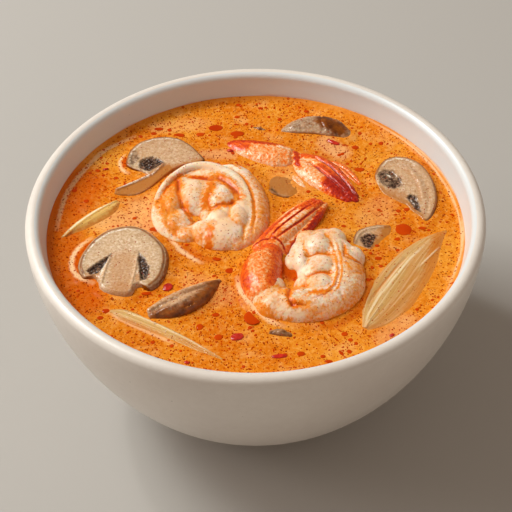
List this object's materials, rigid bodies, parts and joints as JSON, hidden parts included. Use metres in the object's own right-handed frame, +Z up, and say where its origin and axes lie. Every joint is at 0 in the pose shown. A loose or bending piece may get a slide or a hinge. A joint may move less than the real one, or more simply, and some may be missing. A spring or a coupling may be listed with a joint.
{
  "type": "bowl of tom yum soup",
  "caption": "Round stoneware bowl on a low foot, filled with creamy tom yum soup with floating shrimps, sliced mushrooms and lemongrass.",
  "frame": {"origin": "centre of the bowl's foot, on the plane it stands on", "axes": "+Z up along the bowl's axis; the bowl is round, so +X and +Y are set by the garnish: the tail fan of the front shrimp points to +X +Y, and the long lemongrass slip lies towards -X -Y"},
  "size_m": [0.18, 0.18, 0.09],
  "materials": {
    "glazed_stoneware": "satin-gloss cream glaze with fine sparse specks",
    "creamy_broth": "wet, opaque orange broth with red oil drops and chilli specks",
    "cooked_shrimp": "wet, translucent flesh",
    "cooked_mushroom": "damp, fine-grained cut face",
    "lemongrass": "wet, fibrous"
  },
  "bodies": {
    "root": {"bowl": "glazed_stoneware", "soup": "creamy_broth", "shrimp_left": "cooked_shrimp", "shrimp_front": "cooked_shrimp", "shrimp_back": "cooked_shrimp", "mushroom_back_left": "cooked_mushroom", "mushroom_left": "cooked_mushroom", "mushroom_right": "cooked_mushroom", "mushroom_middle": "cooked_mushroom", "mushroom_centre": "cooked_mushroom", "mushroom_front": "cooked_mushroom", "mushroom_back": "cooked_mushroom", "mushroom_crumb_front": "cooked_mushroom", "mushroom_crumb_back": "cooked_mushroom", "lemongrass_left": "lemongrass", "lemongrass_front": "lemongrass", "lemongrass_right": "lemongrass"}
  },
  "joints": []
}
